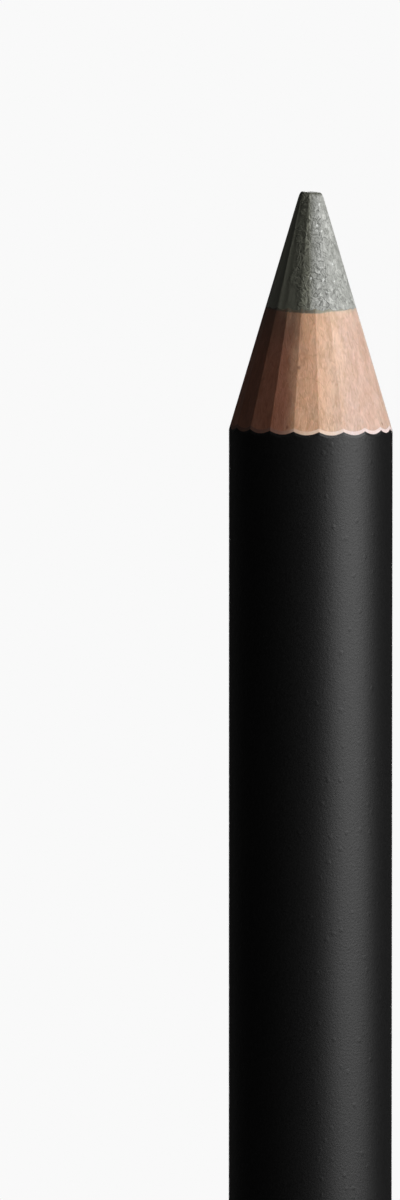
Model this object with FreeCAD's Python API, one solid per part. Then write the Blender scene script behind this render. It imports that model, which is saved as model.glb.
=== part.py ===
import FreeCAD, Part

import math
import os

# Wood-cased eyeliner pencil, upright, point at the top. The origin is the lowest point of the domed end.
# All lengths are in millimetres and all angles in degrees.

# Whole pencil
overall_length = 125.0
barrel_diameter = 8.0
core_diameter = 4.4

# Sharpened point: flat facets shaved round the axis, down to a small blunt end
facet_count = 20
facet_slope_angle = 16.45
facet_turn = 5.4
tip_width = 1.04
tip_rounding = 0.11

# Domed rear end: a flattened half ellipsoid that would be a little wider than the barrel
dome_height = 2.0
dome_overhang = 0.56
dip_thickness = 0.12

# Coats on the barrel, from the wood outwards
undercoat_thickness = 0.05
lacquer_thickness = 0.04

# Ring of metallic paint printed on the lacquer near the rear end
band_thickness = 0.015
band_length = 7.5
band_from_end = 14.6

# What follows from them
barrel_radius = barrel_diameter / 2
core_radius = core_diameter / 2
primed_radius = barrel_radius - lacquer_thickness
wood_radius = primed_radius - undercoat_thickness
facet_slope = math.tan(math.radians(facet_slope_angle))
half_facet = math.pi / facet_count

ORIGIN = FreeCAD.Vector(0, 0, 0)
UP = FreeCAD.Vector(0, 0, 1)
HALF_TURN = 180
FULL_TURN = 360


def ring_profile(inner_radius, outer_radius, bottom, top):
    """Rectangle beside the axis, on the side of +X."""
    corners = [(inner_radius, bottom), (outer_radius, bottom), (outer_radius, top), (inner_radius, top)]
    points = [FreeCAD.Vector(x, 0, z) for x, z in corners]
    return Part.Face(Part.makePolygon(points + points[:1]))


def ring(inner_radius, outer_radius, bottom, top, turn=FULL_TURN):
    """Tube round the axis, or the part of one that a smaller turn sweeps."""
    return ring_profile(inner_radius, outer_radius, bottom, top).revolve(ORIGIN, UP, turn)


def rod(radius, bottom, top):
    return Part.makeCylinder(radius, top - bottom, FreeCAD.Vector(0, 0, bottom), UP)


def dome_form(lift):
    """Everything above a domed end that is lifted off the origin by the given height.

    Its outline is drawn behind the axis, so that its seam stays off the wooden halves' parting plane.
    """
    widest = barrel_radius + dome_overhang
    depth = dome_height / (1 - math.sqrt(1 - (barrel_radius / widest) ** 2))
    apex = FreeCAD.Vector(0, 0, lift)
    corner = FreeCAD.Vector(0, widest, lift)
    shoulder = FreeCAD.Vector(0, widest, lift + depth)
    above = FreeCAD.Vector(0, widest, lift + overall_length)
    centre = FreeCAD.Vector(0, 0, lift + overall_length)
    quarter_ellipse = Part.BezierCurve()
    quarter_ellipse.setPoles([apex, corner, shoulder])
    quarter_ellipse.setWeight(2, math.sqrt(0.5))
    outline = Part.Wire([quarter_ellipse.toShape(), Part.makePolygon([shoulder, above, centre, apex])])
    return Part.Face(outline).revolve(ORIGIN, UP, FULL_TURN)


def facet_polygon(apothem, height):
    """Corners of the regular polygon that the facets make at a height, counted from the front to the right."""
    reach = apothem / math.cos(half_facet)
    corners = []
    for k in range(facet_count):
        angle = math.radians(facet_turn - 90) + 2 * half_facet * k
        corners.append(FreeCAD.Vector(reach * math.cos(angle), reach * math.sin(angle), height))
    return corners


def sharpened_form():
    """Pyramid of flat facets with a blunt tip, wide enough below to clear the barrel."""
    tip_apothem = tip_width / 2
    base_drop = overall_length + dip_thickness
    tip = facet_polygon(tip_apothem, overall_length)
    base = facet_polygon(tip_apothem + facet_slope * base_drop, overall_length - base_drop)
    faces = [Part.Face(Part.makePolygon(tip + tip[:1])), Part.Face(Part.makePolygon(base + base[:1]))]
    for k in range(facet_count):
        after = (k + 1) % facet_count
        faces.append(Part.Face(Part.makePolygon([base[k], base[after], tip[after], tip[k], base[k]])))
    return Part.Solid(Part.Shell(faces))


# The blank's full height, and the two tools that shape its ends
blank_bottom = 0
blank_top = overall_length
point_form = sharpened_form()
coated_dome = dome_form(0)
bare_dome = dome_form(dip_thickness)


def shaped(blank):
    """A blank with its rear end domed and its front end sharpened."""
    return blank.common(bare_dome).common(point_form)


def pigment_core():
    """Wax rod whose blunt tip has a rounded edge."""
    core = shaped(rod(core_radius, blank_bottom, blank_top))
    tip_edges = [edge for edge in core.Edges if edge.BoundBox.ZMin > overall_length - tip_rounding / 2]
    return core.makeFillet(tip_rounding, tip_edges)


def casing_half(turn):
    """Half round wood with its half round groove for the core. The parting plane holds the X axis."""
    return shaped(ring(core_radius, wood_radius, blank_bottom, blank_top, turn))


def undercoat():
    return shaped(ring(wood_radius, primed_radius, blank_bottom, blank_top))


def barrel_lacquer():
    return shaped(ring(primed_radius, barrel_radius, blank_bottom, blank_top))


def shade_band():
    return ring(barrel_radius, barrel_radius + band_thickness, band_from_end, band_from_end + band_length)


def end_dip():
    """Thin cap of lacquer over the dome, down to the shoulder."""
    rod_end = rod(barrel_radius, blank_bottom, dome_height + dip_thickness)
    return rod_end.common(coated_dome).cut(bare_dome)


nodes = {
    "pigment_core": pigment_core(),
    "casing_half_front": casing_half(-HALF_TURN),
    "casing_half_back": casing_half(HALF_TURN),
    "undercoat": undercoat(),
    "barrel_lacquer": barrel_lacquer(),
    "shade_band": shade_band(),
    "end_dip": end_dip(),
}

os.makedirs("parts", exist_ok=True)
for name, shape in nodes.items():
    shape.exportStep(f"parts/{name}.step")
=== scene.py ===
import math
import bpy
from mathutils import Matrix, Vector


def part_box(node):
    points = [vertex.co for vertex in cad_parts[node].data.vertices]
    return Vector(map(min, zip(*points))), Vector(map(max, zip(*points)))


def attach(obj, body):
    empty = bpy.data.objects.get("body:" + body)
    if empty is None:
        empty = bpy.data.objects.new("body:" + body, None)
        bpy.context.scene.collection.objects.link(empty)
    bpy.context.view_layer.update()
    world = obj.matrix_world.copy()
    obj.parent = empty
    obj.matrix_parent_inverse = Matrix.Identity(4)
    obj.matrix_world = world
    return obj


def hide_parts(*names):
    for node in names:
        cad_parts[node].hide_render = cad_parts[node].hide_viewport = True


bl_info = {
    "name": "Faceted Cosmetic Pencil",
    "version": (1, 0, 0),
    "blender": (4, 5, 0),
    "location": "3D View > Sidebar > Pencil",
    "description": "Dresses the solids of a wood-cased cosmetic pencil with a flat-sided sharpened point",
    "category": "Add Mesh",
}

from functools import partial

import bpy
from bpy.props import FloatProperty, FloatVectorProperty, IntProperty, PointerProperty

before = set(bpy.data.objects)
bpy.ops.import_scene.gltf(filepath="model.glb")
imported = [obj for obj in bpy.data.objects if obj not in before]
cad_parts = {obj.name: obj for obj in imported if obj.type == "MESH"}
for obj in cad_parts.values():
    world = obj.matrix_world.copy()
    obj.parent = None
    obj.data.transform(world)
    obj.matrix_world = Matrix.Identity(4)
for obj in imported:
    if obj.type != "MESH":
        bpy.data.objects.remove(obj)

MM = 0.001
FULL_TURN = 2 * math.pi
# Angle of the front, counted from +X
FRONT = -math.pi / 2
ROOT_BODY = "root"
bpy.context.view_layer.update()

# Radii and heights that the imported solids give
PENCIL_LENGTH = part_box("pigment_core")[1].z
CORE_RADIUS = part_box("pigment_core")[1].x
WOOD_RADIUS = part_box("casing_half_front")[1].x
PRIMED_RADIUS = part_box("undercoat")[1].x
BARREL_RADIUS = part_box("barrel_lacquer")[1].x
DIP_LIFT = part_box("pigment_core")[0].z
DIP_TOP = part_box("end_dip")[1].z
DOME_HEIGHT = DIP_TOP - DIP_LIFT
BAND_LOW, BAND_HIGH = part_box("shade_band")

# Kinds of node that come up often
MATH = "ShaderNodeMath"
VECTOR = "ShaderNodeVectorMath"
MIX = "ShaderNodeMix"
RANGE = "ShaderNodeMapRange"
NOISE = "ShaderNodeTexNoise"
CELLS = "ShaderNodeTexVoronoi"
MAPPING = "ShaderNodeMapping"
JOIN = "ShaderNodeCombineXYZ"
SPLIT = "ShaderNodeSeparateXYZ"

# Settings that come up often. A mix has its share as input 0. It mixes the numbers 2 and 3, the vectors 4
# and 5 or the colours 6 and 7.
SMOOTH = {"interpolation_type": "SMOOTHSTEP"}
COLOUR = {"out": 2, "data_type": "RGBA"}
TINTING = {**COLOUR, "blend_type": "MULTIPLY"}


def linear(hex_colour):
    """An sRGB hex colour such as "#c0a080" as linear RGBA."""
    channels = [int(hex_colour[i : i + 2], 16) / 255 for i in (1, 3, 5)]
    return tuple(c / 12.92 if c <= 0.04045 else ((c + 0.055) / 1.055) ** 2.4 for c in channels) + (1.0,)


WHITE = linear("#ffffff")
PALE_PAPER = linear("#f9f9f9")
DARK_PAPER = linear("#101010")


def add_node(tree, kind, inputs=None, out=0, **settings):
    """Adds a node with its settings, fills its inputs with values or links, and returns an output."""
    node = tree.nodes.new(kind)
    for name, value in settings.items():
        setattr(node, name, value)
    for key, value in (inputs or {}).items():
        if isinstance(value, bpy.types.NodeSocket):
            tree.links.new(value, node.inputs[key])
        else:
            node.inputs[key].default_value = value
    return node.outputs[out] if node.outputs else node


def length_prop(name, description, millimetres):
    return FloatProperty(name=name, description=description, default=millimetres * MM, unit="LENGTH")


def angle_prop(name, description, degrees):
    return FloatProperty(name=name, description=description, default=math.radians(degrees), subtype="ANGLE")


def colour_prop(name, description, hex_colour):
    default = linear(hex_colour)
    return FloatVectorProperty(name=name, description=description, default=default, subtype="COLOR", size=4)


class PencilSizes(bpy.types.PropertyGroup):
    """Sizes of the sharpened point and of the thin coats."""

    facet_count: IntProperty(
        name="Facets", description="Flat sides of the sharpened point", default=20, min=3
    )
    facet_turn: angle_prop(
        "Facet turn", "Angle from the front to the first edge between two flat sides", 5.4
    )
    facet_slope: angle_prop("Facet slope", "Angle between a flat side and the pencil's axis", 16.45)
    cut_tilt: angle_prop(
        "Cut tilt", "Tilt of the whole cut, which lowers the paint edge on the right", 0.91
    )
    tip_width: length_prop("Tip width", "Width of the blunt tip", 1.04)
    tip_softness: length_prop("Tip softness", "Height over which the blunt tip's edge is worn round", 0.5)
    tip_slant: angle_prop("Tip slant", "Slant of the blunt tip, down to the right", 4.6)
    right_flat_facing: angle_prop(
        "Right worn flat facing",
        "Direction that the core's bright worn flat faces, from the front to the right",
        11.0,
    )
    left_flat_facing: angle_prop(
        "Left worn flat facing",
        "Direction that the core's dark worn flat faces, from the front to the right",
        -31.0,
    )
    flat_share: FloatProperty(
        name="Worn flat share",
        description="Distance of the worn flats from the axis, as a share of that of the other flat sides",
        default=0.9837,
    )
    flat_depth: length_prop("Worn flat depth", "Depth of the worn flats on top of their share", 0.0245)
    dome_overhang: length_prop(
        "Dome overhang", "How much wider than the barrel the dome's ellipse is at its widest", 0.56
    )
    bead_height: length_prop("Bead height", "Height of the paint bead along both edges of the ring", 0.006)
    bead_width: length_prop("Bead width", "Width of that bead", 0.1)


class PencilFinish(bpy.types.PropertyGroup):
    """Colours of the pencil's materials."""

    wax_light: colour_prop("Pearl wax, light", "Colour of the mica crumbs in the torn wax", "#dbdcd7")
    wax_dark: colour_prop("Pearl wax, dark", "Colour of the pits in the torn wax", "#60625b")
    wax_smooth: colour_prop("Pearl wax, smooth", "Colour of the wax that the blade left smooth", "#9b9c8d")
    # Dark wax colour, painted as shade on the wax's left ridges and on the wood next to the core; the blunt
    # tip is darker in it too
    wax_painted_shade: colour_prop("Pearl wax, burnished", "Colour of the wax where it rubs", "#595a4f")
    # Pale colour painted on a few torn crumbs, which stand for glints of mica
    mica: colour_prop("Mica", "Colour of the crumbs that sparkle", "#dfe1dd")
    wood_light: colour_prop("Cedar, light", "Colour of the early wood", "#f4cfb4")
    wood_dark: colour_prop("Cedar, dark", "Colour of the late wood", "#d6b092")
    # Painted shade across the cedar: the first darkens and reddens its left side, away from the main softbox,
    # the second tints its middle tan, and the third, a painted sheen, makes its lit right side cooler and
    # less saturated
    left_shade_tint: colour_prop("Heartwood", "Tint that the reddish heartwood adds to the cedar", "#b79c9a")
    middle_shade_tint: colour_prop("Tan wood", "Tint that the tan wood adds to the cedar", "#fdeee1")
    right_sheen_tint: colour_prop("Sapwood", "Tint that the pinkish sapwood adds to the cedar", "#eff1fe")
    fleck: colour_prop("Resin fleck", "Colour of the small dark flecks in the wood", "#7a4f3e")
    primer: colour_prop("Primer", "Colour of the priming coat under the lacquer", "#fcf0e8")
    lacquer: colour_prop("Lacquer", "Colour of the black coat on the barrel", "#121212")
    dipping_lacquer: colour_prop("Dipping lacquer", "Colour of the black coat on the domed end", "#121210")
    metallic_paint: colour_prop("Metallic paint", "Colour of the printed ring", "#adafa8")


class PencilStudio(bpy.types.PropertyGroup):
    """Camera and lamps."""

    aim: FloatVectorProperty(
        name="Aim",
        description="Point that the camera looks at",
        default=(-5.41 * MM, 0.0, 104.98 * MM),
        subtype="TRANSLATION",
        unit="LENGTH",
    )
    camera_rise: angle_prop("Camera rise", "Angle by which the camera looks down", 5.0)
    camera_distance: length_prop("Camera distance", "From the aim to the camera", 650.0)
    view_height: length_prop("View height", "Height of what the camera takes in at the aim", 58.68)
    key_turn: angle_prop("Key turn", "Direction of the main softbox, from the front to the right", 57.0)
    key_level: FloatProperty(
        name="Key level", description="Radiance of the main softbox", default=4.85, min=0.0
    )
    fill_level: FloatProperty(
        name="Fill level", description="Radiance of the dim room round the pencil", default=0.045, min=0.0
    )


# What the rule for a shaved tube takes
TUBE_COUNTS = ("Columns", "Wall Rows", "Face Rows", "Bore Rows", "End Rows")
TUBE_WALL = ("Inner Radius", "Outer Radius", "Start", "Sweep", "Capped", "Length")
TUBE_POINT = ("Facets", "First Edge", "Slope", "Cut Tilt", "Tip Width", "Tip Softness", "Tip Slant")
TUBE_FLATS = ("Right Flat Facing", "Left Flat Facing", "Flat Share", "Flat Depth")
TUBE_DOME = ("Dome Width", "Dome Depth", "Dome Lift")
TUBE_LUMPS = ("Unevenness", "Unevenness Scale", "Seed")
TUBE_INPUTS = {
    **dict.fromkeys(TUBE_COUNTS, "NodeSocketInt"),
    **dict.fromkeys(TUBE_WALL + TUBE_POINT + TUBE_FLATS + TUBE_DOME + TUBE_LUMPS, "NodeSocketFloat"),
    "Material": "NodeSocketMaterial",
}
# The lumps of the unevenness are a third of a millimetre wide
LUMPS_PER_METRE = 3.0 / MM
LUMP_SEED = 4.0
MERGE_DISTANCE = 0.0002 * MM


def new_geometry_tree(name, inputs):
    """Starts a Geometry Nodes tree. Returns it with its input sockets by name."""
    tree = bpy.data.node_groups.new(name, "GeometryNodeTree")
    for label, kind in inputs.items():
        tree.interface.new_socket(label, in_out="INPUT", socket_type=kind)
    tree.interface.new_socket("Geometry", in_out="OUTPUT", socket_type="NodeSocketGeometry")
    group_input = tree.nodes.new("NodeGroupInput")
    return tree, {label: group_input.outputs[label] for label in inputs}


def cut_distance(add, given, x, y):
    """How far out the blade meets a place, square to its flat side or to the worn flat that cuts it first."""
    flat_place = add(JOIN, {"X": x, "Y": y})
    reach = add(VECTOR, {0: flat_place}, "Value", operation="LENGTH")
    bearing = add(MATH, {0: y, 1: x}, operation="ARCTAN2")
    facet_width = add(MATH, {0: FULL_TURN, 1: given["Facets"]}, operation="DIVIDE")
    half_width = add(MATH, {0: facet_width, 1: 0.5}, operation="MULTIPLY")
    from_edge = add(MATH, {0: bearing, 1: given["First Edge"]}, operation="SUBTRACT")
    in_facet = add(MATH, {0: from_edge, 1: facet_width}, operation="FLOORED_MODULO")
    off_centre = add(MATH, {0: in_facet, 1: half_width}, operation="SUBTRACT")
    nearness = add(MATH, {0: off_centre}, operation="COSINE")
    distance = add(MATH, {0: reach, 1: nearness}, operation="MULTIPLY")
    for flat_facing in (given["Right Flat Facing"], given["Left Flat Facing"]):
        flat_x = add(MATH, {0: flat_facing}, operation="COSINE")
        flat_y = add(MATH, {0: flat_facing}, operation="SINE")
        flat_way = add(JOIN, {"X": flat_x, "Y": flat_y})
        along_flat = add(VECTOR, {0: flat_place, 1: flat_way}, "Value", operation="DOT_PRODUCT")
        sunk_flat = add(MATH, {0: along_flat, 1: given["Flat Depth"]}, operation="ADD")
        flat_distance = add(MATH, {0: sunk_flat, 1: given["Flat Share"]}, operation="DIVIDE")
        distance = add(MATH, {0: distance, 1: flat_distance}, operation="MAXIMUM")
    return distance


def point_height(add, given, x, y):
    """Height of the shaved point over a place beside the axis: flat sides, worn flats and the blunt tip."""
    distance = cut_distance(add, given, x, y)
    half_tip = add(MATH, {0: given["Tip Width"], 1: 0.5}, operation="MULTIPLY")
    steepness = add(MATH, {0: given["Slope"]}, operation="TANGENT")
    past_tip = add(MATH, {0: distance, 1: half_tip}, operation="SUBTRACT")
    drop = add(MATH, {0: past_tip, 1: steepness}, operation="DIVIDE")
    level_cut = add(MATH, {0: given["Length"], 1: drop}, operation="SUBTRACT")
    tilt = add(MATH, {0: given["Cut Tilt"]}, operation="TANGENT")
    tilt_drop = add(MATH, {0: x, 1: tilt}, operation="MULTIPLY")
    cut = add(MATH, {0: level_cut, 1: tilt_drop}, operation="SUBTRACT")

    slant = add(MATH, {0: given["Tip Slant"]}, operation="TANGENT")
    from_left = add(MATH, {0: x, 1: half_tip}, operation="ADD")
    slant_drop = add(MATH, {0: from_left, 1: slant}, operation="MULTIPLY")
    tip = add(MATH, {0: given["Length"], 1: slant_drop}, operation="SUBTRACT")
    height = add(MATH, {0: cut, 1: tip, 2: given["Tip Softness"]}, operation="SMOOTH_MIN")

    place = add(JOIN, {"X": x, "Y": y, "Z": height})
    lump_inputs = {"Vector": place, "W": given["Seed"], "Scale": given["Unevenness Scale"], "Detail": 2.0}
    lumps = add(NOISE, lump_inputs, noise_dimensions="4D")
    centred = add(MATH, {0: lumps, 1: 0.5}, operation="SUBTRACT")
    lump_depth = add(MATH, {0: given["Unevenness"], 1: steepness}, operation="DIVIDE")
    lump = add(MATH, {0: centred, 1: lump_depth}, operation="MULTIPLY")
    uneven = add(MATH, {0: height, 1: lump}, operation="ADD")
    return add(MATH, {0: uneven, 1: given["Length"]}, operation="MINIMUM")


def dome_height_at(add, given, radius):
    """Height of the dome's flattened ellipse at a radius."""
    share = add(MATH, {0: radius, 1: given["Dome Width"]}, operation="DIVIDE")
    square = add(MATH, {0: share, 1: share}, operation="MULTIPLY")
    left_over = add(MATH, {0: 1.0, 1: square}, operation="SUBTRACT")
    fall = add(MATH, {0: left_over}, operation="SQRT")
    rise = add(MATH, {0: 1.0, 1: fall}, operation="SUBTRACT")
    return add(MATH, {0: rise, 1: given["Dome Depth"], 2: given["Dome Lift"]}, operation="MULTIPLY_ADD")


def wall_place(add, given, corners, across, along, station):
    """Place on the tube's wall at a station of its outline, in the direction that across and along give."""
    rise, face, fall, end = [
        add(RANGE, {"Value": station, "From Min": start, "From Max": stop})
        for start, stop in zip(corners, corners[1:])
    ]
    inward = add(MATH, {0: face, 1: end}, operation="SUBTRACT")
    upward = add(MATH, {0: rise, 1: fall}, operation="SUBTRACT")
    radius = add(MIX, {0: inward, 2: given["Outer Radius"], 3: given["Inner Radius"]})
    x = add(MATH, {0: radius, 1: across}, operation="MULTIPLY")
    y = add(MATH, {0: radius, 1: along}, operation="MULTIPLY")
    top = point_height(add, given, x, y)
    bottom = dome_height_at(add, given, radius)
    z = add(MIX, {0: upward, 2: bottom, 3: top})
    return add(JOIN, {"X": x, "Y": y, "Z": z})


def cap_place(add, given, across, along):
    """Middle of the flat side of a half tube, where its spare column comes together."""
    radius = add(MIX, {0: 0.5, 2: given["Outer Radius"], 3: given["Inner Radius"]})
    x = add(MATH, {0: radius, 1: across}, operation="MULTIPLY")
    y = add(MATH, {0: radius, 1: along}, operation="MULTIPLY")
    z = add(MATH, {0: given["Length"], 1: 0.5}, operation="MULTIPLY")
    return add(JOIN, {"X": x, "Y": y, "Z": z})


def shaved_tube_tree():
    """Tube between two radii whose rear end follows the dome and whose front end follows the shaved point.

    A grid is bent into the tube. Its X counts the columns round the axis, with one spare column at each end
    that closes a half tube. Its Y counts the stations round the wall's outline: up the wall, in over the
    shaved face, down the bore and out over the rear end.
    """
    tree, given = new_geometry_tree("Shaved Tube", TUBE_INPUTS)
    add = partial(add_node, tree)
    face_start = given["Wall Rows"]
    bore_start = add(MATH, {0: face_start, 1: given["Face Rows"]}, operation="ADD")
    end_start = add(MATH, {0: bore_start, 1: given["Bore Rows"]}, operation="ADD")
    row_total = add(MATH, {0: end_start, 1: given["End Rows"]}, operation="ADD")
    corners = (0.0, face_start, bore_start, end_start, row_total)
    row_points = add(MATH, {0: row_total, 1: 1.0}, operation="ADD")
    column_total = add(MATH, {0: given["Columns"], 1: 2.0}, operation="ADD")
    column_points = add(MATH, {0: given["Columns"], 1: 3.0}, operation="ADD")
    grid_size = {"Size X": column_total, "Size Y": row_total}
    grid_points = {"Vertices X": column_points, "Vertices Y": row_points}
    grid = add("GeometryNodeMeshGrid", {**grid_size, **grid_points})

    grid_place = add("GeometryNodeInputPosition")
    grid_x = add(SPLIT, {0: grid_place}, "X")
    grid_y = add(SPLIT, {0: grid_place}, "Y")
    station = add(MATH, {0: row_total, 1: 0.5, 2: grid_y}, operation="MULTIPLY_ADD")
    half_columns = add(MATH, {0: given["Columns"], 1: 0.5}, operation="MULTIPLY")
    column = add(MATH, {0: grid_x, 1: half_columns}, operation="ADD")
    turned = add(RANGE, {"Value": column, "From Max": given["Columns"], "To Max": given["Sweep"]})
    angle = add(MATH, {0: turned, 1: given["Start"]}, operation="ADD")
    across = add(MATH, {0: angle}, operation="COSINE")
    along = add(MATH, {0: angle}, operation="SINE")
    on_wall = wall_place(add, given, corners, across, along, station)
    on_cap = cap_place(add, given, across, along)
    from_middle = add(MATH, {0: grid_x}, operation="ABSOLUTE")
    last_column = add(MATH, {0: half_columns, 1: 0.5}, operation="ADD")
    spare = add(MATH, {0: from_middle, 1: last_column}, operation="GREATER_THAN")
    closing = add(MATH, {0: spare, 1: given["Capped"]}, operation="MULTIPLY")
    place = add(MIX, {0: closing, 4: on_wall, 5: on_cap}, 1, data_type="VECTOR")

    shade_smooth = "GeometryNodeSetShadeSmooth"
    shaded = add(shade_smooth, {"Geometry": grid, "Shade Smooth": True})
    for corner in corners:
        is_corner = add(MATH, {0: station, 1: corner, 2: 0.25}, operation="COMPARE")
        sharp = {"Geometry": shaded, "Selection": is_corner, "Shade Smooth": False}
        shaded = add(shade_smooth, sharp, domain="EDGE")
    bent = add("GeometryNodeSetPosition", {"Geometry": shaded, "Position": place})
    merged = add("GeometryNodeMergeByDistance", {"Geometry": bent, "Distance": MERGE_DISTANCE})
    face_count = add("GeometryNodeInputMeshEdgeNeighbors")
    loose = add(MATH, {0: face_count, 1: 0.5}, operation="LESS_THAN")
    closed = add("GeometryNodeDeleteGeometry", {"Geometry": merged, "Selection": loose}, domain="EDGE")
    realized = add("GeometryNodeRealizeInstances", {"Geometry": closed})
    finished = add("GeometryNodeSetMaterial", {"Geometry": realized, "Material": given["Material"]})
    add("NodeGroupOutput", {"Geometry": finished})
    return tree


def grow(name, tree, values):
    """Runs a tree with the given inputs and returns the result as a plain mesh object."""
    piece = bpy.data.objects.new(name, bpy.data.meshes.new(name))
    bpy.context.scene.collection.objects.link(piece)
    modifier = piece.modifiers.new("Rule", "NODES")
    modifier.node_group = tree
    sockets = {item.name: item.identifier for item in tree.interface.items_tree if item.in_out == "INPUT"}
    for label, value in values.items():
        modifier[sockets[label]] = value
    evaluated = piece.evaluated_get(bpy.context.evaluated_depsgraph_get())
    mesh = bpy.data.meshes.new_from_object(evaluated)
    if len(mesh.polygons) == 0:
        raise RuntimeError(f"The rule for {name} made no faces")
    piece.modifiers.remove(modifier)
    piece.data = mesh
    return piece


def dome_ellipse(overhang):
    """Half width and depth of the flattened ellipse whose end is the dome."""
    widest = BARREL_RADIUS + overhang
    return widest, DOME_HEIGHT / (1 - math.sqrt(1 - (BARREL_RADIUS / widest) ** 2))


def shaved_piece(name, inner_radius, outer_radius, material, rows, uneven, worn=False, half=None):
    """One layer of the pencil, from the rear end to the shaved point, or a half of one from an angle on.

    The rows are counted up the wall, over the shaved face, down the bore and over the rear end.
    """
    sizes = bpy.context.scene.pencil_sizes
    tree = bpy.data.node_groups.get("Shaved Tube") or shaved_tube_tree()
    dome_width, dome_depth = dome_ellipse(sizes.dome_overhang)
    columns_per_facet = 30
    values = {
        "Columns": columns_per_facet * sizes.facet_count // (1 if half is None else 2),
        **dict(zip(TUBE_COUNTS[1:], rows)),
        "Inner Radius": inner_radius,
        "Outer Radius": outer_radius,
        "Start": half or 0.0,
        "Sweep": FULL_TURN if half is None else FULL_TURN / 2,
        "Capped": 0.0 if half is None else 1.0,
        "Length": PENCIL_LENGTH,
        "Facets": float(sizes.facet_count),
        "First Edge": sizes.facet_turn + FRONT,
        "Slope": sizes.facet_slope,
        "Cut Tilt": sizes.cut_tilt,
        "Tip Width": sizes.tip_width,
        "Tip Softness": sizes.tip_softness,
        "Tip Slant": sizes.tip_slant,
        "Right Flat Facing": sizes.right_flat_facing + FRONT,
        "Left Flat Facing": sizes.left_flat_facing + FRONT,
        "Flat Share": sizes.flat_share if worn else 1.0,
        "Flat Depth": sizes.flat_depth if worn else -BARREL_RADIUS,
        "Dome Width": dome_width,
        "Dome Depth": dome_depth,
        "Dome Lift": DIP_LIFT,
        "Unevenness": uneven,
        "Unevenness Scale": LUMPS_PER_METRE,
        "Seed": LUMP_SEED,
        "Material": material,
    }
    return grow(name, tree, values)


def hand_over(piece, slot, *nodes):
    """Lets a finished piece ride on the body and stand for its nodes."""
    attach(piece, ROOT_BODY)
    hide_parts(*nodes)


def turned_piece(name, outline, material, columns=400):
    """Turns a closed outline of (radius, height) points round the axis. A radius of 0 becomes a pole."""
    rings = []
    verts = []
    for radius, height in outline:
        if radius == 0:
            rings.append([len(verts)] * columns)
            verts.append((0.0, 0.0, height))
            continue
        rings.append(list(range(len(verts), len(verts) + columns)))
        for k in range(columns):
            angle = FULL_TURN * k / columns
            verts.append((radius * math.cos(angle), radius * math.sin(angle), height))
    faces = []
    for low, high in zip(rings, rings[1:] + rings[:1]):
        for k in range(columns):
            after = (k + 1) % columns
            corners = list(dict.fromkeys([low[k], low[after], high[after], high[k]]))
            if len(corners) > 2:
                faces.append(corners)
    mesh = bpy.data.meshes.new(name)
    mesh.from_pydata(verts, [], faces)
    mesh.materials.append(material)
    mesh.shade_smooth()
    mesh.set_sharp_from_angle(angle=math.radians(30))
    piece = bpy.data.objects.new(name, mesh)
    bpy.context.scene.collection.objects.link(piece)
    return piece


def new_material(name, **settings):
    """Starts a material. Returns it with its call to add nodes, its shader and its place in millimetres."""
    material = bpy.data.materials.new(name)
    material.use_nodes = True
    add = partial(add_node, material.node_tree)
    shader = material.node_tree.nodes["Principled BSDF"]
    for label, value in settings.items():
        shader.inputs[label.replace("_", " ")].default_value = value
    place = add("ShaderNodeTexCoord", out="Object")
    millimetres = add(MAPPING, {"Vector": place, "Scale": (1 / MM, 1 / MM, 1 / MM)})
    return material, add, shader, millimetres


def finish_surface(add, shader, colour, relief, depth, strength=1.0, roughness=None):
    """Links a colour, the bumps of a relief with their depth in millimetres, and a roughness if it varies."""
    bump = add("ShaderNodeBump", {"Height": relief, "Strength": strength, "Distance": depth * MM})
    for source, label in ((colour, "Base Color"), (bump, "Normal"), (roughness, "Roughness")):
        if source is not None:
            shader.id_data.links.new(source, shader.inputs[label])


def marks(add, millimetres, width, length):
    """Inputs for a pattern whose marks have this width across the pencil and this length, in millimetres."""
    scale = (1 / width, 1 / width, 1 / length)
    return {"Vector": add(MAPPING, {"Vector": millimetres, "Scale": scale}), "Scale": 1.0}


def winding_lines(add, pattern, seed, thickness):
    """Thin lines that wind into loops, where a smooth noise crosses its mean: 1 on them and 0 beside them."""
    winding = {**pattern, "W": seed, "Detail": 1.0, "Distortion": 0.6}
    noise = add(NOISE, winding, noise_dimensions="4D")
    off_mean = add(MATH, {0: noise, 1: 0.5}, operation="SUBTRACT")
    away = add(MATH, {0: off_mean}, operation="ABSOLUTE")
    return add(RANGE, {"Value": away, "From Max": thickness, "To Min": 1.0, "To Max": 0.0}, **SMOOTH)


def wax_patterns(add, millimetres):
    """The wax's drag marks, its livelier and calmer patches, and the relief of the torn wax."""
    # Drag marks 0.16 mm wide and 0.6 mm long
    drag_marks = marks(add, millimetres, 0.16, 0.6)
    drag = add(NOISE, {**drag_marks, "Detail": 2.0, "Distortion": 0.8})
    # Crests and tears about 0.36 mm apart across the pencil and 0.44 mm along it
    winding = marks(add, millimetres, 0.36, 0.44)
    crests = winding_lines(add, winding, 2.0, 0.08)
    tears = winding_lines(add, winding, 7.0, 0.07)
    # Grains of 0.07 mm, and patches 0.6 mm wide and 0.8 mm long
    grains = add(NOISE, marks(add, millimetres, 0.07, 0.07))
    patches = add(NOISE, marks(add, millimetres, 0.6, 0.8))
    liveliness = add(RANGE, {"Value": patches, "From Min": 0.38, "From Max": 0.58, "To Min": 0.4})
    balance = add(MATH, {0: crests, 1: tears}, operation="SUBTRACT")
    winding_relief = add(MATH, {0: balance, 1: liveliness}, operation="MULTIPLY")
    streaked = add(MATH, {0: drag, 1: 0.9, 2: winding_relief}, operation="MULTIPLY_ADD")
    clouded = add(MATH, {0: patches, 1: 1.1, 2: streaked}, operation="MULTIPLY_ADD")
    relief = add(MATH, {0: grains, 1: 1.6, 2: clouded}, operation="MULTIPLY_ADD")
    return drag, patches, relief


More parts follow.
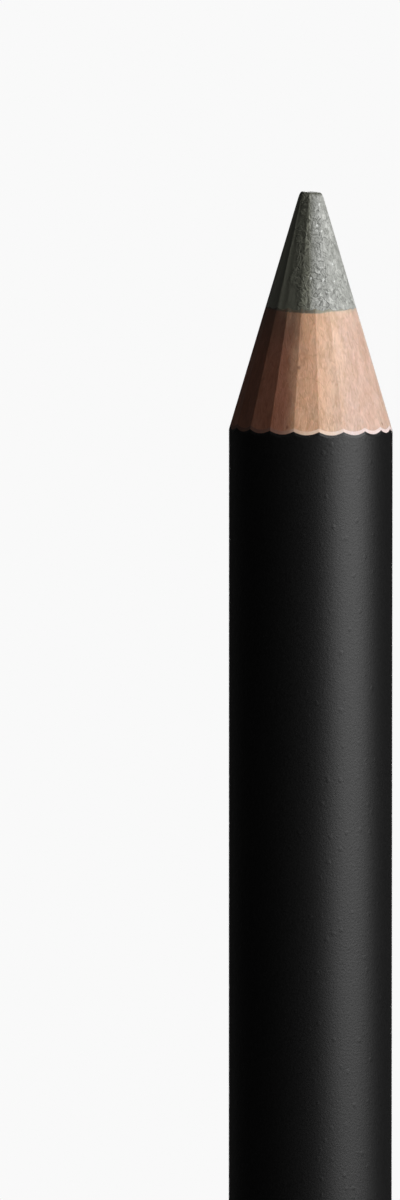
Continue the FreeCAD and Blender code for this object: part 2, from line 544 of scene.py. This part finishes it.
def wax_shade_share(add, millimetres, wandering):
    """Share of the dark wax colour: painted shade on soft ridges on the left, and a darker blunt tip."""
    level = add(VECTOR, {0: millimetres, 1: (1.0, 1.0, 0.0)}, operation="MULTIPLY")
    reach = add(VECTOR, {0: level}, "Value", operation="LENGTH")
    sideways = add(MATH, {0: wandering, 1: reach}, operation="DIVIDE")
    leftward = add(MATH, {0: sideways, 1: -1.0}, operation="MULTIPLY")
    ridges = add("ShaderNodeValToRGB", {"Fac": leftward})
    ramp = ridges.node.color_ramp
    ramp.interpolation = "EASE"
    # How far to the left, from the middle to the outline, and the share of the painted shade there
    stops = ((0.0, 0.6), (0.14, 0.85), (0.26, 0.75), (0.36, 0.55))
    stops += ((0.46, 0.65), (0.58, 0.95), (0.72, 0.5), (0.87, 0.0))
    for place, _ in stops[1:-1]:
        ramp.elements.new(place)
    for element, (place, share) in zip(ramp.elements, stops):
        element.position = place
        element.color = (share, share, share, 1.0)
    fading = {"Value": wandering, "From Min": 0.05, "From Max": 0.45, "To Min": 1.0, "To Max": 0.0}
    before_right = add(RANGE, fading, **SMOOTH)
    painted_shade_ridges = add(MATH, {0: ridges, 1: before_right}, operation="MULTIPLY")
    height = add(SPLIT, {0: millimetres}, "Z")
    top = PENCIL_LENGTH / MM
    # The blunt tip is darker in the same colour
    darker_tip = add(RANGE, {"Value": height, "From Min": top - 0.26, "From Max": top - 0.1})
    return add(MATH, {0: painted_shade_ridges, 1: darker_tip}, operation="MAXIMUM")


def pearl_wax_material():
    """Pressed wax with pearl pigment, cut by a blade: smooth on the left, torn and crumbly on the right.

    The torn side has winding crests of pale mica, dark tears between them, calmer patches and a few pale
    crumbs painted bright as glints of mica. Scuffs of it fade out over the middle of the smooth side. The
    ridges on the left are darkened with painted shade, and the blunt tip is darker too.
    """
    finish = bpy.context.scene.pencil_finish
    material, add, shader, millimetres = new_material("shaved_pearl_wax", IOR=1.45)
    drag, patches, relief = wax_patterns(add, millimetres)
    across = add(SPLIT, {0: millimetres}, "X")
    wandering = add(MATH, {0: drag, 1: 0.12, 2: across}, operation="MULTIPLY_ADD")
    torn = add(RANGE, {"Value": wandering, "From Min": -0.1, "From Max": 0.15}, **SMOOTH)
    lightness = add(RANGE, {"Value": relief, "From Max": 3.6})
    torn_colour = add(MIX, {0: lightness, 6: finish.wax_dark, 7: finish.wax_light}, **COLOUR)
    colour = add(MIX, {0: torn, 6: finish.wax_smooth, 7: torn_colour}, **COLOUR)
    # Painted shade on the wax's ridges on the left, and a darker blunt tip
    shade_share = wax_shade_share(add, millimetres, wandering)
    painted_shade = add(MIX, {0: shade_share, 6: colour, 7: finish.wax_painted_shade}, **COLOUR)

    off_patch = add(MATH, {0: patches, 1: 0.5}, operation="SUBTRACT")
    straying = add(MATH, {0: off_patch, 1: 2.5, 2: wandering}, operation="MULTIPLY_ADD")
    fading = add(RANGE, {"Value": straying, "From Min": -1.0, "From Max": -0.15}, **SMOOTH)
    still_smooth = add(MATH, {0: 1.0, 1: torn}, operation="SUBTRACT")
    half_torn = add(MATH, {0: fading, 1: still_smooth}, operation="MULTIPLY")
    smear = add(RANGE, {"Value": drag, "To Min": 0.7, "To Max": 1.3})
    scuff_range = {"From Min": 1.1, "From Max": 2.7, "To Min": 0.6, "To Max": 1.4}
    scuffs = add(RANGE, {"Value": relief, **scuff_range})
    scuffed = add(MIX, {0: half_torn, 2: smear, 3: scuffs})
    smeared = add(VECTOR, {0: painted_shade, 3: scuffed}, operation="SCALE")

    # Crumbs of 0.1 mm, of which one in 250 is painted pale and bright, standing for glints of mica
    crumbs = add(CELLS, marks(add, millimetres, 0.1, 0.1), "Color")
    crumb_draw = add(SPLIT, {0: crumbs}, "X")
    painted_glint = add(MATH, {0: crumb_draw, 1: 0.996}, operation="GREATER_THAN")
    torn_painted_glint = add(MATH, {0: painted_glint, 1: torn}, operation="MULTIPLY")
    glint_painted_colour = add(MIX, {0: torn_painted_glint, 6: smeared, 7: finish.mica}, **COLOUR)
    roughness = add(RANGE, {"Value": torn, "To Min": 0.42, "To Max": 0.6})
    roughened = add(MATH, {0: half_torn, 1: 0.45, 2: torn}, operation="MULTIPLY_ADD")
    bump_share = add(RANGE, {"Value": roughened, "To Min": 0.06, "To Max": 1.0})
    bumps = add(MATH, {0: relief, 1: bump_share}, operation="MULTIPLY")
    finish_surface(add, shader, glint_painted_colour, bumps, depth=0.02, roughness=roughness)
    return material


def painted_wood_shade(add, millimetres):
    """Painted shade of the wood across the pencil: dark and reddish on the left, away from the main softbox,
    tan over the middle, and cooler and less saturated on the lit right side, a painted sheen.

    Each tint fades over a border that wanders with the wood's broad streaks.
    """
    finish = bpy.context.scene.pencil_finish
    # Streaks 0.7 mm wide and 4 mm long
    streaks = add(NOISE, {**marks(add, millimetres, 0.7, 4.0), "Detail": 1.0})
    across = add(SPLIT, {0: millimetres}, "X")
    border = add(MATH, {0: streaks, 1: 1.5, 2: across}, operation="MULTIPLY_ADD")
    # Each colour is full at the first distance from the middle, in millimetres, and gone at the second
    shade_tints = ((finish.left_shade_tint, -0.7, 0.6), (finish.middle_shade_tint, 0.45, 2.0), (finish.right_sheen_tint, 3.0, 1.4))
    tint = WHITE
    for colour, full, gone in shade_tints:
        share = add(RANGE, {"Value": border, "From Min": gone, "From Max": full}, **SMOOTH)
        layer = add(MIX, {0: share, 6: WHITE, 7: colour}, **COLOUR)
        tint = add(MIX, {0: 1.0, 6: tint, 7: layer}, **TINTING)
    return tint


def pigment_and_shade_on_wood(add, millimetres, grain, wood):
    """Darkens the wood with painted shade on the left, strongest next to the core and fading out below, and
    smears the core's pigment over it.

    The smear follows a parabola across the pencil, from just under the core's lowest point. It reaches a
    little lower in the middle and on the left.
    """
    finish = bpy.context.scene.pencil_finish
    sizes = bpy.context.scene.pencil_sizes
    core_drop = (CORE_RADIUS - sizes.tip_width / 2) / math.tan(sizes.facet_slope)
    core_edge = (PENCIL_LENGTH - core_drop) / MM
    across = add(SPLIT, {0: millimetres}, "X")
    height = add(SPLIT, {0: millimetres}, "Z")
    tilted = {0: across, 1: math.tan(sizes.cut_tilt), 2: height}
    level_height = add(MATH, tilted, operation="MULTIPLY_ADD")
    # Painted shade on the left of the wood, strongest next to the core and gone 2.8 mm below it
    shade_span = {"Value": level_height, "From Min": core_edge - 2.8, "From Max": core_edge}
    shade_near_core = add(RANGE, shade_span, **SMOOTH)
    on_left = add(RANGE, {"Value": across, "From Min": -0.3, "From Max": -0.8, "To Max": 0.38})
    shade_share_left = add(MATH, {0: shade_near_core, 1: on_left}, operation="MULTIPLY")
    shade_painted_colour = add(MIX, {0: shade_share_left, 6: wood, 7: finish.wax_painted_shade}, **COLOUR)

    square = add(MATH, {0: across, 1: across}, operation="MULTIPLY")
    bent_height = add(MATH, {0: square, 1: -0.03, 2: level_height}, operation="MULTIPLY_ADD")
    deeper = add(RANGE, {"Value": across, "From Min": 0.8, "From Max": 0.4, "To Max": 0.06}, **SMOOTH)
    lowered = add(MATH, {0: bent_height, 1: deeper}, operation="ADD")
    wavy_height = add(MATH, {0: grain, 1: 0.08, 2: lowered}, operation="MULTIPLY_ADD")
    smear_edge = {"From Min": core_edge - 0.08, "From Max": core_edge - 0.01, "To Max": 0.9}
    smear = add(RANGE, {"Value": wavy_height, **smear_edge})
    # The smear's pigment is darker on the left, with the wax's painted shade
    right_share = add(RANGE, {"Value": across, "From Min": -0.2, "From Max": 0.5})
    pigment = add(MIX, {0: right_share, 6: finish.wax_painted_shade, 7: finish.wax_smooth}, **COLOUR)
    return add(MIX, {0: smear, 6: shade_painted_colour, 7: pigment}, **COLOUR)


def cedar_material():
    """Incense cedar cut by a blade: wavy grain along the pencil and a few dark flecks.

    Painted shade runs across it: dark and reddish on the left, away from the main softbox, tan over the
    middle, and cooler and less saturated, a painted sheen, on the lit right side. Painted shade also darkens
    the left next to the core. Where it meets the core, the blade smeared some of the core's pigment over it.
    """
    finish = bpy.context.scene.pencil_finish
    material, add, shader, millimetres = new_material(
        "shaved_cedar", Roughness=0.55, IOR=1.45, Subsurface_Weight=0.4, Subsurface_Scale=0.2 * MM
    )
    shader.inputs["Subsurface Radius"].default_value = (1.0, 0.5, 0.3)
    # Grain 0.13 mm wide and 0.8 mm long, and growth layers 0.5 mm wide and 5 mm long
    grain = add(NOISE, {**marks(add, millimetres, 0.13, 0.8), "Detail": 2.0, "Distortion": 1.2})
    layers = add(NOISE, {**marks(add, millimetres, 0.5, 5.0), "Detail": 2.0, "Distortion": 0.6})
    # Curls in the grain about 0.3 mm apart across the pencil and 1.2 mm along it
    curls = marks(add, millimetres, 0.3, 1.2)
    dark_curls = winding_lines(add, curls, 3.0, 0.08)
    light_curls = winding_lines(add, curls, 5.0, 0.08)
    scored = add(MATH, {0: dark_curls, 1: -0.22, 2: layers}, operation="MULTIPLY_ADD")
    mottle = add(MATH, {0: light_curls, 1: 0.18, 2: scored}, operation="MULTIPLY_ADD")
    tone = add(MATH, {0: grain, 1: 0.9, 2: mottle}, operation="MULTIPLY_ADD")
    lightness = add(RANGE, {"Value": tone, "From Min": 0.62, "From Max": 1.27})
    wood = add(MIX, {0: lightness, 6: finish.wood_dark, 7: finish.wood_light}, **COLOUR)
    # Painted shade across the pencil
    shade_tinted = add(MIX, {0: 1.0, 6: wood, 7: painted_wood_shade(add, millimetres)}, **TINTING)

    # Resin flecks up to 0.2 mm wide, about one in each 5 square millimetres
    flecks = add(CELLS, marks(add, millimetres, 0.9, 1.2))
    fleck_edge = {"From Min": 0.05, "From Max": 0.11, "To Min": 0.6, "To Max": 0.0}
    fleck = add(RANGE, {"Value": flecks, **fleck_edge})
    flecked = add(MIX, {0: fleck, 6: shade_tinted, 7: finish.fleck}, **COLOUR)
    smeared = pigment_and_shade_on_wood(add, millimetres, grain, flecked)
    finish_surface(add, shader, smeared, tone, depth=0.014, strength=0.6)
    return material


def primer_material():
    """Nitrocellulose priming coat: matt and chalky cream, with a soft tooth where the blade broke it.

    The wood's painted shade tints it too, and it is darker still on the left, also painted shade.
    """
    finish = bpy.context.scene.pencil_finish
    material, add, shader, millimetres = new_material("cream_priming_coat", Roughness=0.7, IOR=1.5)
    # The tooth is finer than a hair. It is drawn at 0.11 mm, which is as fine as shows.
    tooth = add(NOISE, {"Vector": millimetres, "Scale": 9.0, "Detail": 2.0})
    shaded = add(MIX, {0: tooth, 6: finish.primer, 7: finish.wood_light}, **COLOUR)
    # Painted shade across the pencil, as on the wood
    shade_painted_colour = add(MIX, {0: 1.0, 6: shaded, 7: painted_wood_shade(add, millimetres)}, **TINTING)
    across = add(SPLIT, {0: millimetres}, "X")
    # Painted shade: darker towards the left, away from the main softbox
    left_shade_range = {"From Min": -2.6, "From Max": 0.0, "To Min": 0.5, "To Max": 1.05}
    shade_factor = add(RANGE, {"Value": across, **left_shade_range})
    shade_darkened = add(VECTOR, {0: shade_painted_colour, 3: shade_factor}, operation="SCALE")
    finish_surface(add, shader, shade_darkened, tooth, depth=0.01, strength=0.5)
    return material


def satin_lacquer_material():
    """Black nitrocellulose lacquer with matting powder: one broad soft highlight with a fine speckle.

    A few coarser grains of the powder stand up through it.
    """
    finish = bpy.context.scene.pencil_finish
    material, add, shader, millimetres = new_material(
        "satin_black_lacquer", Roughness=0.41, IOR=1.5, Specular_IOR_Level=0.34
    )
    # The powder's grains are a few microns across. They are drawn at 0.1 mm, which is as fine as shows.
    powder = add(NOISE, {"Vector": millimetres, "Scale": 10.0, "Detail": 1.0})
    speck_range = {"From Min": 0.3, "From Max": 0.7, "To Min": 0.8, "To Max": 1.2}
    speck = add(RANGE, {"Value": powder, **speck_range})
    colour = add(VECTOR, {0: finish.lacquer[:3], 3: speck}, operation="SCALE")
    roughness = add(RANGE, {"Value": powder, "To Min": 0.36, "To Max": 0.46})
    # Soft grains up to 0.3 mm across, about one in each square millimetre
    cells = add(CELLS, marks(add, millimetres, 0.6, 0.7))
    grain_edge = {"From Min": 0.05, "From Max": 0.24, "To Min": 1.0, "To Max": 0.0}
    grain = add(RANGE, {"Value": cells, **grain_edge}, **SMOOTH)
    relief = add(MATH, {0: grain, 1: 0.9, 2: powder}, operation="MULTIPLY_ADD")
    finish_surface(add, shader, colour, relief, depth=0.006, roughness=roughness)
    return material


def gloss_lacquer_material():
    """Black dipping lacquer: glossier than the barrel, with the slow waves of a coat that ran and set."""
    finish = bpy.context.scene.pencil_finish
    material, add, shader, millimetres = new_material(
        "gloss_black_dip", Roughness=0.2, IOR=1.5, Specular_IOR_Level=0.3
    )
    # Waves 0.8 mm wide, and the same powder as on the barrel
    flow = add(NOISE, {"Vector": millimetres, "Scale": 1.2, "Detail": 1.0})
    powder = add(NOISE, {"Vector": millimetres, "Scale": 10.0, "Detail": 1.0})
    speck = add(RANGE, {"Value": powder, "To Min": 0.5, "To Max": 1.5})
    colour = add(VECTOR, {0: finish.dipping_lacquer[:3], 3: speck}, operation="SCALE")
    roughness = add(RANGE, {"Value": flow, "To Min": 0.15, "To Max": 0.25})
    finish_surface(add, shader, colour, flow, depth=0.05, strength=0.3, roughness=roughness)
    return material


def metallic_paint_material():
    """Printed ring of aluminium-flake paint: flakes of uneven tilt make a soft, slightly grainy metal."""
    finish = bpy.context.scene.pencil_finish
    material, add, shader, millimetres = new_material("printed_metallic_paint", Metallic=0.7, Roughness=0.46)
    # Flakes are about 0.02 mm wide. They are drawn at 0.09 mm, which is as fine as shows.
    flakes = add(CELLS, {"Vector": millimetres, "Scale": 11.0}, "Color")
    flake_tone = add(SPLIT, {0: flakes}, "X")
    tone = add(RANGE, {"Value": flake_tone, "To Min": 0.86, "To Max": 1.1})
    colour = add(VECTOR, {0: finish.metallic_paint[:3], 3: tone}, operation="SCALE")
    roughness = add(RANGE, {"Value": flake_tone, "To Min": 0.4, "To Max": 0.52})
    finish_surface(add, shader, colour, flake_tone, depth=0.003, strength=0.4, roughness=roughness)
    return material


class PENCIL_OT_core(bpy.types.Operator):
    """Build the pearl wax core with its shaved and worn point"""

    bl_idname = "pencil.core"
    bl_label = "Pearl wax core"

    def execute(self, context):
        wax = pearl_wax_material()
        rows = (8, 110, 1, 8)
        core = shaved_piece("shaved_core", 0.0, CORE_RADIUS, wax, rows, uneven=0.012 * MM, worn=True)
        hand_over(core, "pearl_wax", "pigment_core")
        return {"FINISHED"}


class PENCIL_OT_casing(bpy.types.Operator):
    """Build the two glued halves of the wooden casing"""

    bl_idname = "pencil.casing"
    bl_label = "Wooden casing"

    def execute(self, context):
        cedar = cedar_material()
        rows = (20, 64, 12, 8)
        for side, start in (("front", -math.pi), ("back", 0.0)):
            name = f"shaved_casing_{side}"
            half = shaved_piece(name, CORE_RADIUS, WOOD_RADIUS, cedar, rows, uneven=0.006 * MM, half=start)
            hand_over(half, "cedar", f"casing_half_{side}")
        return {"FINISHED"}


class PENCIL_OT_coats(bpy.types.Operator):
    """Build the priming coat and the satin black lacquer on it"""

    bl_idname = "pencil.coats"
    bl_label = "Primer and lacquer"

    def execute(self, context):
        uneven = 0.006 * MM
        cream = primer_material()
        rows = (24, 6, 24, 2)
        primer = shaved_piece("shaved_undercoat", WOOD_RADIUS, PRIMED_RADIUS, cream, rows, uneven)
        hand_over(primer, "primer", "undercoat")
        satin = satin_lacquer_material()
        rows = (40, 5, 24, 2)
        lacquer = shaved_piece("shaved_lacquer", PRIMED_RADIUS, BARREL_RADIUS, satin, rows, uneven)
        hand_over(lacquer, "satin_lacquer", "barrel_lacquer")
        return {"FINISHED"}


class PENCIL_OT_ring(bpy.types.Operator):
    """Build the printed metallic ring with a fine bead of paint along both edges"""

    bl_idname = "pencil.ring"
    bl_label = "Metallic ring"

    def execute(self, context):
        sizes = context.scene.pencil_sizes
        flat_radius = BAND_HIGH.x - sizes.bead_height
        steps = 8
        # Radii and distances from the ring's edge: over the bead, then a row that keeps the flat's shading
        edge = [(BARREL_RADIUS, 0.0)]
        for k in range(1, steps + 1):
            rise = math.sin(math.pi * k / steps)
            edge.append((flat_radius + sizes.bead_height * rise, sizes.bead_width * k / steps))
        edge.append((flat_radius, 1.3 * sizes.bead_width))
        outline = [(radius, BAND_LOW.z + offset) for radius, offset in edge]
        outline += [(radius, BAND_HIGH.z - offset) for radius, offset in reversed(edge)]
        ring = turned_piece("printed_ring", outline, metallic_paint_material())
        hand_over(ring, "metallic_paint", "shade_band")
        return {"FINISHED"}


class PENCIL_OT_end_dip(bpy.types.Operator):
    """Build the glossy black cap of lacquer over the domed rear end"""

    bl_idname = "pencil.end_dip"
    bl_label = "Dipped end"

    def execute(self, context):
        widest, depth = dome_ellipse(context.scene.pencil_sizes.dome_overhang)
        steps = 36
        outer = []
        for k in range(steps + 1):
            radius = BARREL_RADIUS * k / steps
            outer.append((radius, depth * (1 - math.sqrt(1 - (radius / widest) ** 2))))
        inner = [(radius, height + DIP_LIFT) for radius, height in reversed(outer)]
        dip = turned_piece("dipped_end", outer + inner, gloss_lacquer_material())
        hand_over(dip, "gloss_lacquer", "end_dip")
        return {"FINISHED"}


def facing(turn, distance, height):
    """Place at an angle from the front to the right, at a distance and a height."""
    return (distance * math.sin(turn), -distance * math.cos(turn), height)


def softbox(name, turn, distance, spread, low, high, level):
    """Upright softbox that spans an angle as seen from the pencil, with the given radiance."""
    lamp = bpy.data.lights.new(name, "AREA")
    lamp.shape = "RECTANGLE"
    lamp.size = 2 * distance * math.tan(spread / 2)
    lamp.size_y = high - low
    lamp.energy = level * math.pi * lamp.size * lamp.size_y
    box = bpy.data.objects.new(name, lamp)
    box.location = facing(turn, distance, (low + high) / 2)
    box.rotation_euler = (math.pi / 2, 0.0, turn)
    box.visible_camera = False
    bpy.context.scene.collection.objects.link(box)


def stage_mesh(name, verts, faces, material):
    mesh = bpy.data.meshes.new(name)
    mesh.from_pydata(verts, [], faces)
    mesh.materials.append(material)
    piece = bpy.data.objects.new(name, mesh)
    bpy.context.scene.collection.objects.link(piece)
    return piece


def black_flags(start, sweep, distance, height):
    """Curved, nearly black screen that keeps the bright room out of the reflections.

    No camera sees it, it throws no shadow, and diffuse light passes it.
    """
    material = bpy.data.materials.new("black_velvet")
    material.use_nodes = True
    tree = material.node_tree
    tree.nodes.clear()
    velvet = add_node(tree, "ShaderNodeEmission", {"Color": WHITE, "Strength": 0.02})
    add_node(tree, "ShaderNodeOutputMaterial", {"Surface": velvet})
    steps = 48
    verts = []
    for k in range(steps + 1):
        turn = start + sweep * k / steps
        verts += [facing(turn, distance, 0.0), facing(turn, distance, height)]
    faces = [(2 * k, 2 * k + 2, 2 * k + 3, 2 * k + 1) for k in range(steps)]
    flags = stage_mesh("black_flags", verts, faces, material)
    flags.visible_camera = False
    flags.visible_diffuse = False
    flags.visible_shadow = False


def seen_share(add, in_reflections=1.0):
    """How much of its pale look a surface shows to each kind of ray.

    It shows all of it straight from the camera or through something clear, the given share in reflections,
    and none of it to diffuse light.
    """
    direct, glossy, through = [
        add("ShaderNodeLightPath", out=kind)
        for kind in ("Is Camera Ray", "Is Glossy Ray", "Is Transmission Ray")
    ]
    reflected = add(MATH, {0: glossy, 1: in_reflections}, operation="MULTIPLY")
    either = add(MATH, {0: direct, 1: reflected}, operation="MAXIMUM")
    return add(MATH, {0: either, 1: through}, operation="MAXIMUM")


def floor_material(fading_distance=0.3, in_reflections=0.02):
    """Pale paper floor that keeps the pencil's shadow and fades into the background further out.

    To the light that it would bounce onto the pencil it is darker, and in reflections it is dimmed like the
    rest of the room, which the black screens keep out of the lacquer.
    """
    material = bpy.data.materials.new("pale_paper")
    material.use_nodes = True
    tree = material.node_tree
    add = partial(add_node, tree)
    paper = tree.nodes["Principled BSDF"]
    paper.inputs["Roughness"].default_value = 0.9
    seen = seen_share(add, in_reflections)
    colour = add(MIX, {0: seen, 6: DARK_PAPER, 7: PALE_PAPER}, **COLOUR)
    tree.links.new(colour, paper.inputs["Base Color"])
    place = add("ShaderNodeTexCoord", out="Object")
    reach = add(VECTOR, {0: place}, "Value", operation="LENGTH")
    fading_range = {"From Max": fading_distance, "To Min": 0.65, "To Max": 1.0}
    fading = add(RANGE, {"Value": reach, **fading_range}, **SMOOTH)
    glow_share = add(MATH, {0: fading, 1: seen}, operation="MULTIPLY")
    glow = add("ShaderNodeEmission", {"Color": PALE_PAPER, "Strength": 1.0})
    mixed = add("ShaderNodeMixShader", {0: glow_share, 1: paper.outputs[0], 2: glow})
    tree.links.new(mixed, tree.nodes["Material Output"].inputs["Surface"])
    return material


def room(fill_level):
    """World: a pale background to the camera and in reflections, and a dim fill for everything else."""
    world = bpy.data.worlds.new("pale_room")
    world.use_nodes = True
    add = partial(add_node, world.node_tree)
    world.node_tree.nodes.clear()
    strength = add(RANGE, {"Value": seen_share(add), "To Min": fill_level, "To Max": 1.0})
    pale = add("ShaderNodeBackground", {"Color": PALE_PAPER, "Strength": strength})
    add("ShaderNodeOutputWorld", {"Surface": pale})
    bpy.context.scene.world = world


def stage_camera(studio):
    camera = bpy.data.cameras.new("camera")
    long_side = camera.sensor_width
    camera.lens = long_side * studio.camera_distance / studio.view_height
    camera.clip_start = 0.01
    camera.clip_end = 10.0
    view = bpy.data.objects.new("camera", camera)
    back = studio.camera_distance * math.cos(studio.camera_rise)
    rise = studio.camera_distance * math.sin(studio.camera_rise)
    view.location = (studio.aim[0], studio.aim[1] - back, studio.aim[2] + rise)
    view.rotation_euler = (math.pi / 2 - studio.camera_rise, 0.0, 0.0)
    bpy.context.scene.collection.objects.link(view)
    bpy.context.scene.camera = view


class PENCIL_OT_stage(bpy.types.Operator):
    """Build the pale floor, the soft lamps and the camera"""

    bl_idname = "pencil.stage"
    bl_label = "Studio"

    def execute(self, context):
        studio = context.scene.pencil_studio
        context.scene.view_settings.view_transform = "Standard"
        stage_camera(studio)
        room(studio.fill_level)

        # The main softbox has a bright heart. Behind the pencil are a dim wide one and a bright narrow one.
        key = {"turn": studio.key_turn, "low": 0.06, "high": 0.56}
        softbox("key", distance=0.37, spread=math.radians(52), level=0.2 * studio.key_level, **key)
        softbox("key_heart", distance=0.36, spread=math.radians(43), level=0.8 * studio.key_level, **key)
        rear = {"turn": math.radians(215), "low": 0.02, "high": 0.5}
        softbox("rear", distance=0.6, spread=math.radians(30), level=0.08, **rear)
        back = {"turn": math.radians(180), "low": 0.0, "high": 0.5}
        softbox("back", distance=0.44, spread=math.radians(18), level=4.5, **back)

        # The screens stand just inside the floor's rim and leave the main softbox free
        floor_radius = 0.5
        opening = math.radians(76)
        start = studio.key_turn + opening / 2
        black_flags(start, FULL_TURN - opening, distance=0.48, height=0.8)
        steps = 128
        rim = [facing(FULL_TURN * k / steps, floor_radius, 0.0) for k in range(steps)]
        stage_mesh("floor", rim, [tuple(reversed(range(steps)))], floor_material())
        return {"FINISHED"}


class PENCIL_PT_panel(bpy.types.Panel):
    """Panel that lists the pencil's sizes, colours and steps"""

    bl_idname = "PENCIL_PT_panel"
    bl_label = "Cosmetic pencil"
    bl_space_type = "VIEW_3D"
    bl_region_type = "UI"
    bl_category = "Pencil"

    def draw(self, context):
        layout = self.layout
        for group in (context.scene.pencil_sizes, context.scene.pencil_finish, context.scene.pencil_studio):
            column = layout.column(align=True)
            for name in group.__annotations__:
                column.prop(group, name)
        for operator in STEPS:
            layout.operator(operator.bl_idname)


STEPS = (
    PENCIL_OT_core,
    PENCIL_OT_casing,
    PENCIL_OT_coats,
    PENCIL_OT_ring,
    PENCIL_OT_end_dip,
    PENCIL_OT_stage,
)
GROUPS = {"pencil_sizes": PencilSizes, "pencil_finish": PencilFinish, "pencil_studio": PencilStudio}


def register():
    for group in GROUPS.values():
        bpy.utils.register_class(group)
    for kind in STEPS + (PENCIL_PT_panel,):
        bpy.utils.register_class(kind)
    for name, group in GROUPS.items():
        setattr(bpy.types.Scene, name, PointerProperty(type=group))


def unregister():
    for name in GROUPS:
        delattr(bpy.types.Scene, name)
    for kind in (PENCIL_PT_panel,) + STEPS:
        bpy.utils.unregister_class(kind)
    for group in GROUPS.values():
        bpy.utils.unregister_class(group)


def main():
    register()
    bpy.ops.pencil.core()
    bpy.ops.pencil.casing()
    bpy.ops.pencil.coats()
    bpy.ops.pencil.ring()
    bpy.ops.pencil.end_dip()
    bpy.ops.pencil.stage()


if __name__ == "__main__":
    main()
